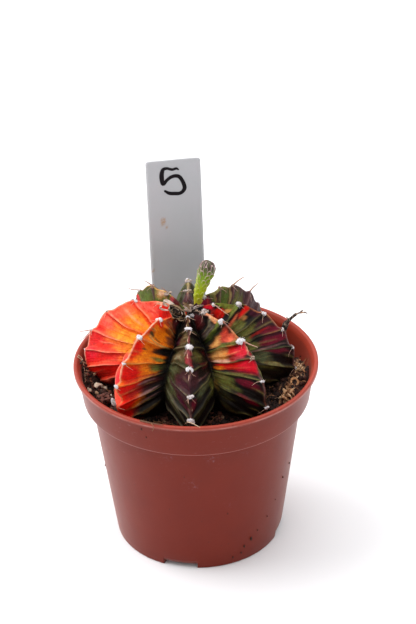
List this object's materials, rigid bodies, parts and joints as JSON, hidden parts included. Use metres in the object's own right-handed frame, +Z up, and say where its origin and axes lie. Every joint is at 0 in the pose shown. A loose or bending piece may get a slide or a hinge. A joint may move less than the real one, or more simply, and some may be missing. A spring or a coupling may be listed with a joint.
{
  "type": "potted moon cactus",
  "caption": "Small variegated ribbed cactus with a bud and a spent flower, in a brown-red plastic nursery pot with soil, stones, bark and a plant label.",
  "frame": {"origin": "centre of the pot's foot, on the surface that it stands on", "axes": "+Z up along the pot's axis, -Y towards the viewer, with the label at the back on +Y"},
  "size_m": [0.065, 0.065, 0.0981],
  "materials": {
    "pot": "satin brown-red injection-moulded plastic, glossier lip",
    "soil": "damp dark potting soil with fibres",
    "cactus": "waxy plant skin in orange, red, yellow, dark green and aubergine patches",
    "bud": "smooth green bud with pinkish scale edges",
    "dry_flower": "dry brown and cream papery flower",
    "label": "translucent grey plastic",
    "bark": "golden-brown fibrous bark",
    "twig": "dark brown dry twig",
    "pumice": "porous cream pumice",
    "brown_stone": "porous brown lump"
  },
  "bodies": {
    "root": {"pot": "pot", "soil": "soil", "cactus_body": "cactus", "flower_bud": "bud", "dried_flower": "dry_flower", "plant_label": "label", "husk_ring": "bark", "twig": "twig", "stone_1": "pumice", "stone_2": "pumice", "stone_3": "pumice", "stone_4": "pumice", "stone_5": "pumice", "stone_6": "brown_stone", "bark_chip_1": "bark", "bark_chip_2": "bark", "bark_chip_3": "bark", "bark_chip_4": "bark"}
  },
  "joints": []
}
